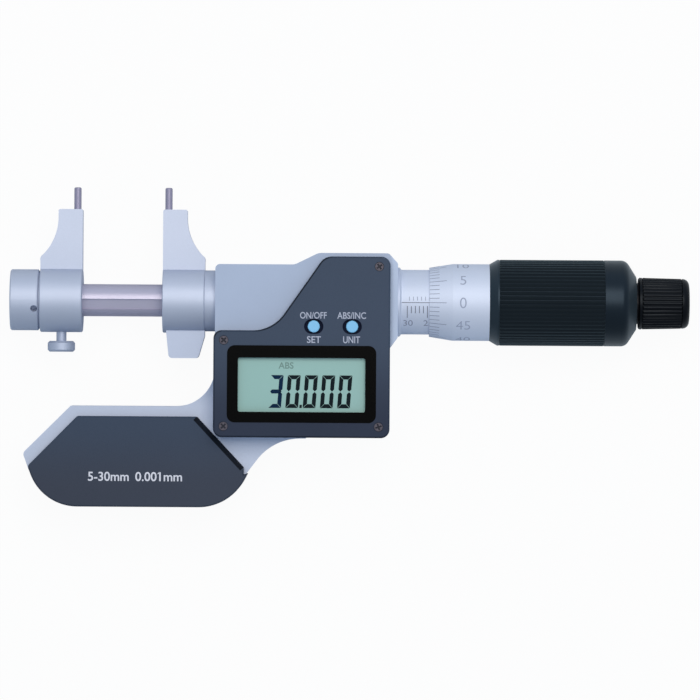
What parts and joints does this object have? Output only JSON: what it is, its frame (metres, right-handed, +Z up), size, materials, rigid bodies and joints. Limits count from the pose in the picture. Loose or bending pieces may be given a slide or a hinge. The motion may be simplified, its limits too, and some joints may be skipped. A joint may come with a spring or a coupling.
{
  "type": "inside micrometer",
  "caption": "Digital inside micrometer with two jaws on a grooved shaft, ribbed thimble and ratchet, and a C-shaped frame with a display head.",
  "frame": {"origin": "on the surface that the instrument lies on, under the middle of its box", "axes": "+X along the spindle towards the ratchet, +Y towards the jaws' tips, +Z up out of the display"},
  "size_m": [0.1692, 0.0794, 0.0235],
  "materials": {
    "silver_paint": "smooth silver enamel over a cast frame",
    "satin_chrome": "satin chrome plate, fine turned grain",
    "ground_steel": "ground and lapped steel",
    "charcoal_plastic": "fine-grained moulded plastic",
    "black_gloss": "polished black moulding",
    "display_glass": "reflective display glass",
    "blue_plastic": "smooth moulded plastic",
    "grip_black": "black moulded plastic with fine ribs",
    "board_green": "glass-fibre circuit board",
    "white_plastic": "moulded plastic",
    "brass": "machined brass",
    "rubber": "moulded rubber",
    "screw_steel": "plated small screw"
  },
  "bodies": {
    "gauge": {"frame": "silver_paint", "guide_bush": "ground_steel", "guide_key": "ground_steel", "fixed_jaw": "satin_chrome", "fixed_pin": "ground_steel", "front_heat_guard": "charcoal_plastic", "rear_heat_guard": "charcoal_plastic", "inner_sleeve": "ground_steel", "scale_sleeve": "satin_chrome", "adjusting_nut": "ground_steel", "encoder_stator": "board_green", "front_cover": "charcoal_plastic", "cover_screws": "screw_steel", "display_bezel": "black_gloss", "display_panel": "display_glass", "display_carrier": "white_plastic", "circuit_board": "board_green", "switches": "rubber", "battery": "screw_steel", "battery_contact": "brass"},
    "spindle": {"guide_shaft": "ground_steel", "swivel_pin": "ground_steel", "moving_jaw": "satin_chrome", "moving_pin": "ground_steel", "end_cap": "satin_chrome"},
    "clamp_pad": {"clamp_pad": "brass"},
    "clamp_screw": {"clamp_screw": "satin_chrome"},
    "thimble": {"lead_screw": "ground_steel", "thimble": "satin_chrome", "thimble_grip": "grip_black", "ratchet_seat": "ground_steel", "ratchet_bolt": "ground_steel"},
    "ratchet": {"ratchet_knob": "grip_black", "drive_ring": "brass", "friction_spring": "ground_steel"},
    "rotor": {"encoder_rotor": "brass"},
    "set_button": {"set_button": "blue_plastic"},
    "unit_button": {"unit_button": "blue_plastic"},
    "cap_seal": {"battery_seal": "rubber"},
    "battery_cap": {"battery_cap": "charcoal_plastic"}
  },
  "joints": [
    {"name": "spindle_slide", "type": "slide", "parent": "gauge", "child": "spindle", "axis": [-1, 0, 0], "range_m": [-0.0195, 0.0055]},
    {"name": "thimble_turn", "type": "hinge", "parent": "spindle", "child": "thimble", "pos_m": [0.0265, 0.0116, 0.0112], "axis": [-1, 0, 0], "range_deg": [-14040, 3960]},
    {"name": "ratchet_turn", "type": "hinge", "parent": "thimble", "child": "ratchet", "pos_m": [0.0765, 0.0116, 0.0112], "axis": [-1, 0, 0], "continuous": true},
    {"name": "rotor_turn", "type": "hinge", "parent": "gauge", "child": "rotor", "pos_m": [0.0035, 0.0116, 0.0112], "axis": [-1, 0, 0], "range_deg": [-14040, 3960]},
    {"name": "clamp_pad_slide", "type": "slide", "parent": "spindle", "child": "clamp_pad", "axis": [0, -1, 0], "range_m": [0, 0.00075]},
    {"name": "clamp_screw_turn", "type": "hinge", "parent": "clamp_pad", "child": "clamp_screw", "pos_m": [-0.07195, 0.0001, 0.0112], "axis": [0, -1, 0], "range_deg": [0, 540]},
    {"name": "set_press", "type": "slide", "parent": "gauge", "child": "set_button", "axis": [0, 0, -1], "range_m": [0, 0.0004], "stiffness_N_per_m": 1000, "springref_m": -0.0003},
    {"name": "unit_press", "type": "slide", "parent": "gauge", "child": "unit_button", "axis": [0, 0, -1], "range_m": [0, 0.0004], "stiffness_N_per_m": 1000, "springref_m": -0.0003},
    {"name": "cap_lift", "type": "slide", "parent": "gauge", "child": "cap_seal", "axis": [0, 0, -1], "range_m": [0, 0.003]},
    {"name": "cap_turn", "type": "hinge", "parent": "cap_seal", "child": "battery_cap", "pos_m": [-0.0115, -0.0089, 0.0012], "axis": [0, 0, -1], "range_deg": [0, 1440]}
  ],
  "couplings": [
    {"joint": "thimble_turn", "follows": "spindle_slide", "rad_per_m": 12566},
    {"joint": "rotor_turn", "follows": "spindle_slide", "rad_per_m": 12566},
    {"joint": "clamp_screw_turn", "follows": "clamp_pad_slide", "rad_per_m": 12566},
    {"joint": "cap_turn", "follows": "cap_lift", "rad_per_m": 8377.6}
  ]
}
